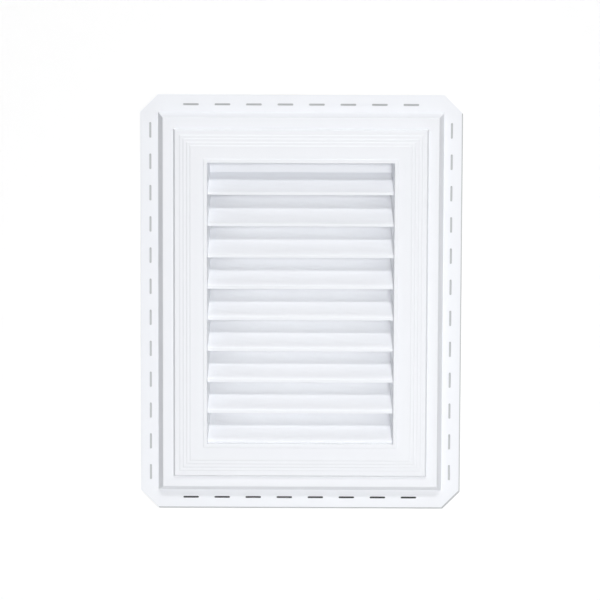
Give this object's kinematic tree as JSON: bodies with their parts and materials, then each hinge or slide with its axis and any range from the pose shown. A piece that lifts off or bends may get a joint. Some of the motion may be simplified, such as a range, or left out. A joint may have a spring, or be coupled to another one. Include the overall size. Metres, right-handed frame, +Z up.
{
  "type": "gable vent",
  "caption": "Rectangular louvred gable vent: white moulded casing with a slotted nailing flange, sloping blades and an insect screen behind, set in a wall to air an attic.",
  "frame": {"origin": "middle of the nailing flange's back face, in the plane of the wall it is fixed to", "axes": "+Z is up the wall, +Y goes into the wall, and the louvred front faces -Y"},
  "size_m": [0.519, 0.0637, 0.674],
  "materials": {
    "white_plastic": "satin moulded",
    "screen_mesh": "woven mesh"
  },
  "bodies": {
    "root": {"vent_body": "white_plastic", "insect_screen": "screen_mesh"}
  },
  "joints": []
}
